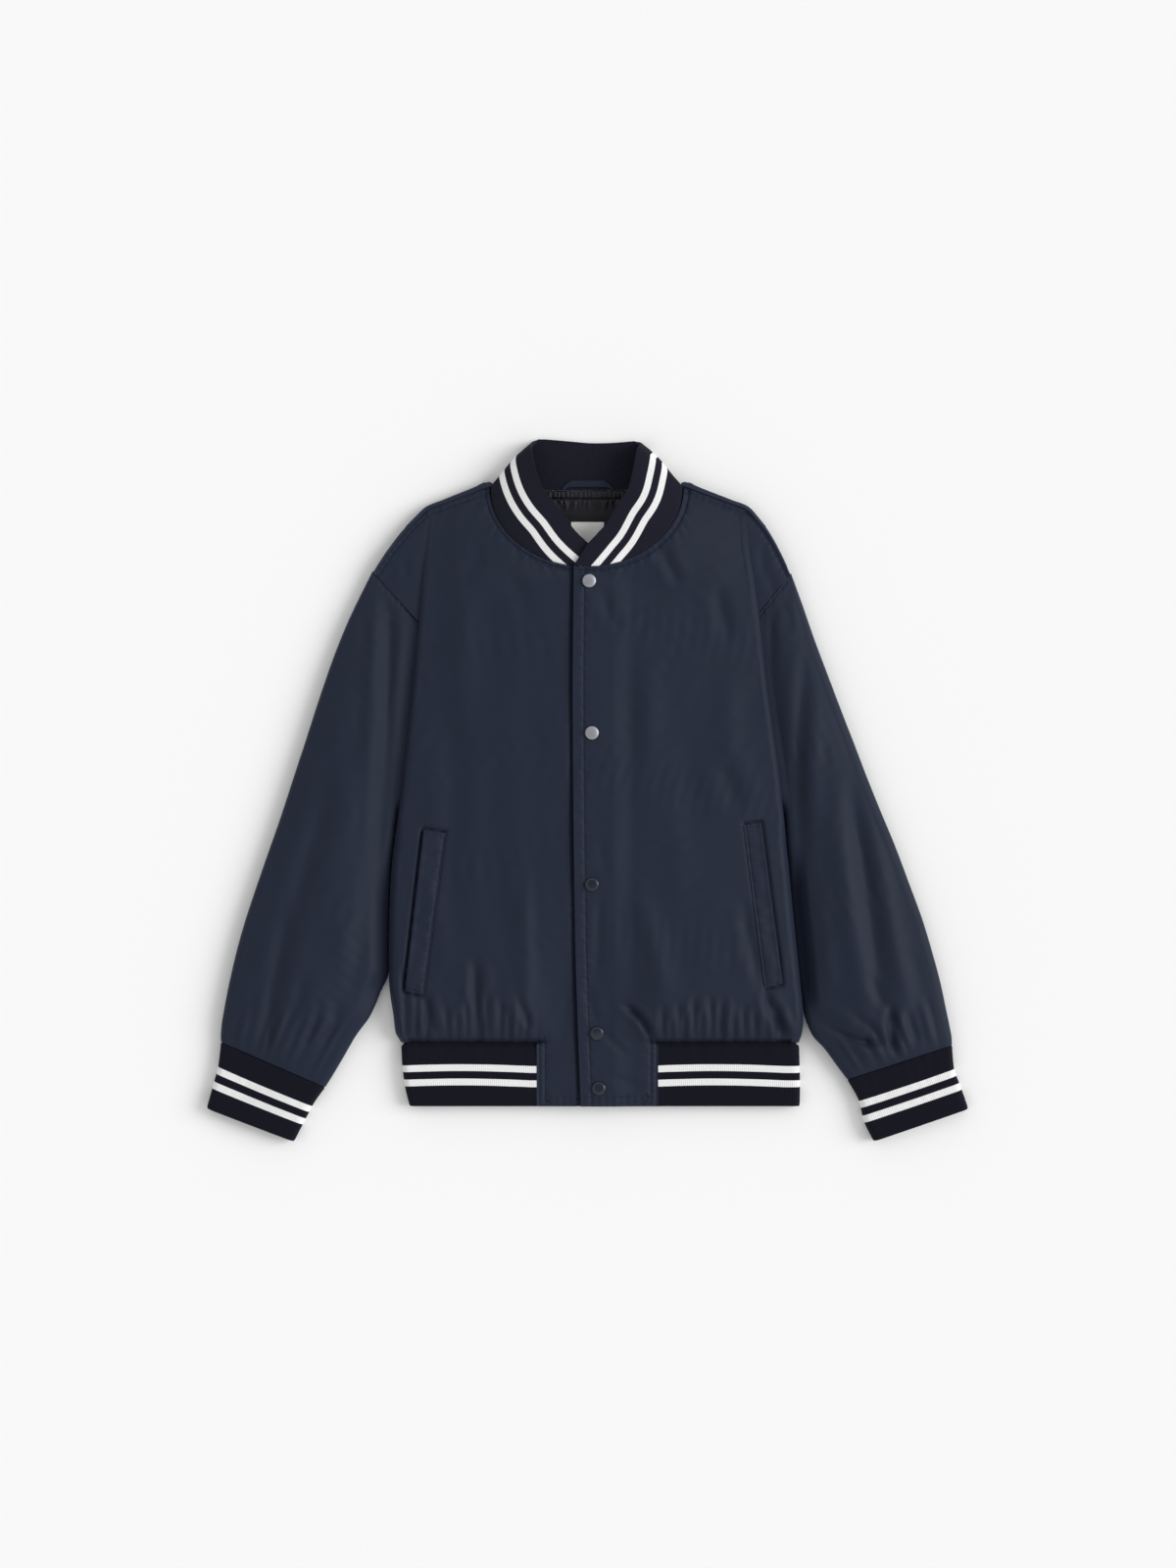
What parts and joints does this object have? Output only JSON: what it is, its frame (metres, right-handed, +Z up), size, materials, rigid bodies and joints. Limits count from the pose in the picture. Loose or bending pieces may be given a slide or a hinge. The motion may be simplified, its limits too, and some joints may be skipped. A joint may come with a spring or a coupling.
{
  "type": "varsity jacket",
  "caption": "Long-sleeved varsity jacket with a stand collar, snapped shut and laid flat; striped rib knit at the collar, cuffs and hem, and a slanted welt pocket on each front.",
  "frame": {"origin": "middle of the box round the jacket, on the surface that it lies on", "axes": "+X towards the wearer's left sleeve, +Y towards the collar, +Z up off the surface, out of the jacket's front"},
  "size_m": [0.8092, 0.747, 0.0407],
  "materials": {
    "shell_cloth": "matte twill with a soft sheen",
    "rib_knit": "matte rib knit, two white stripes knitted in",
    "lining_cloth": "satin lining",
    "label_tape": "plain woven tape",
    "loop_tape": "matte twill tape",
    "snap_metal": "glossy dark enamel"
  },
  "bodies": {
    "root": {"front_right": "shell_cloth", "front_left": "shell_cloth", "back": "shell_cloth", "sleeve_right": "shell_cloth", "sleeve_left": "shell_cloth", "welt_right": "shell_cloth", "welt_left": "shell_cloth", "cuff_right": "rib_knit", "cuff_left": "rib_knit", "hem_rib": "rib_knit", "collar": "rib_knit", "neck_lining": "lining_cloth", "label": "label_tape", "hanger_loop": "loop_tape", "snap_1": "snap_metal", "snap_2": "snap_metal", "snap_3": "snap_metal", "snap_4": "snap_metal", "snap_5": "snap_metal"}
  },
  "joints": []
}
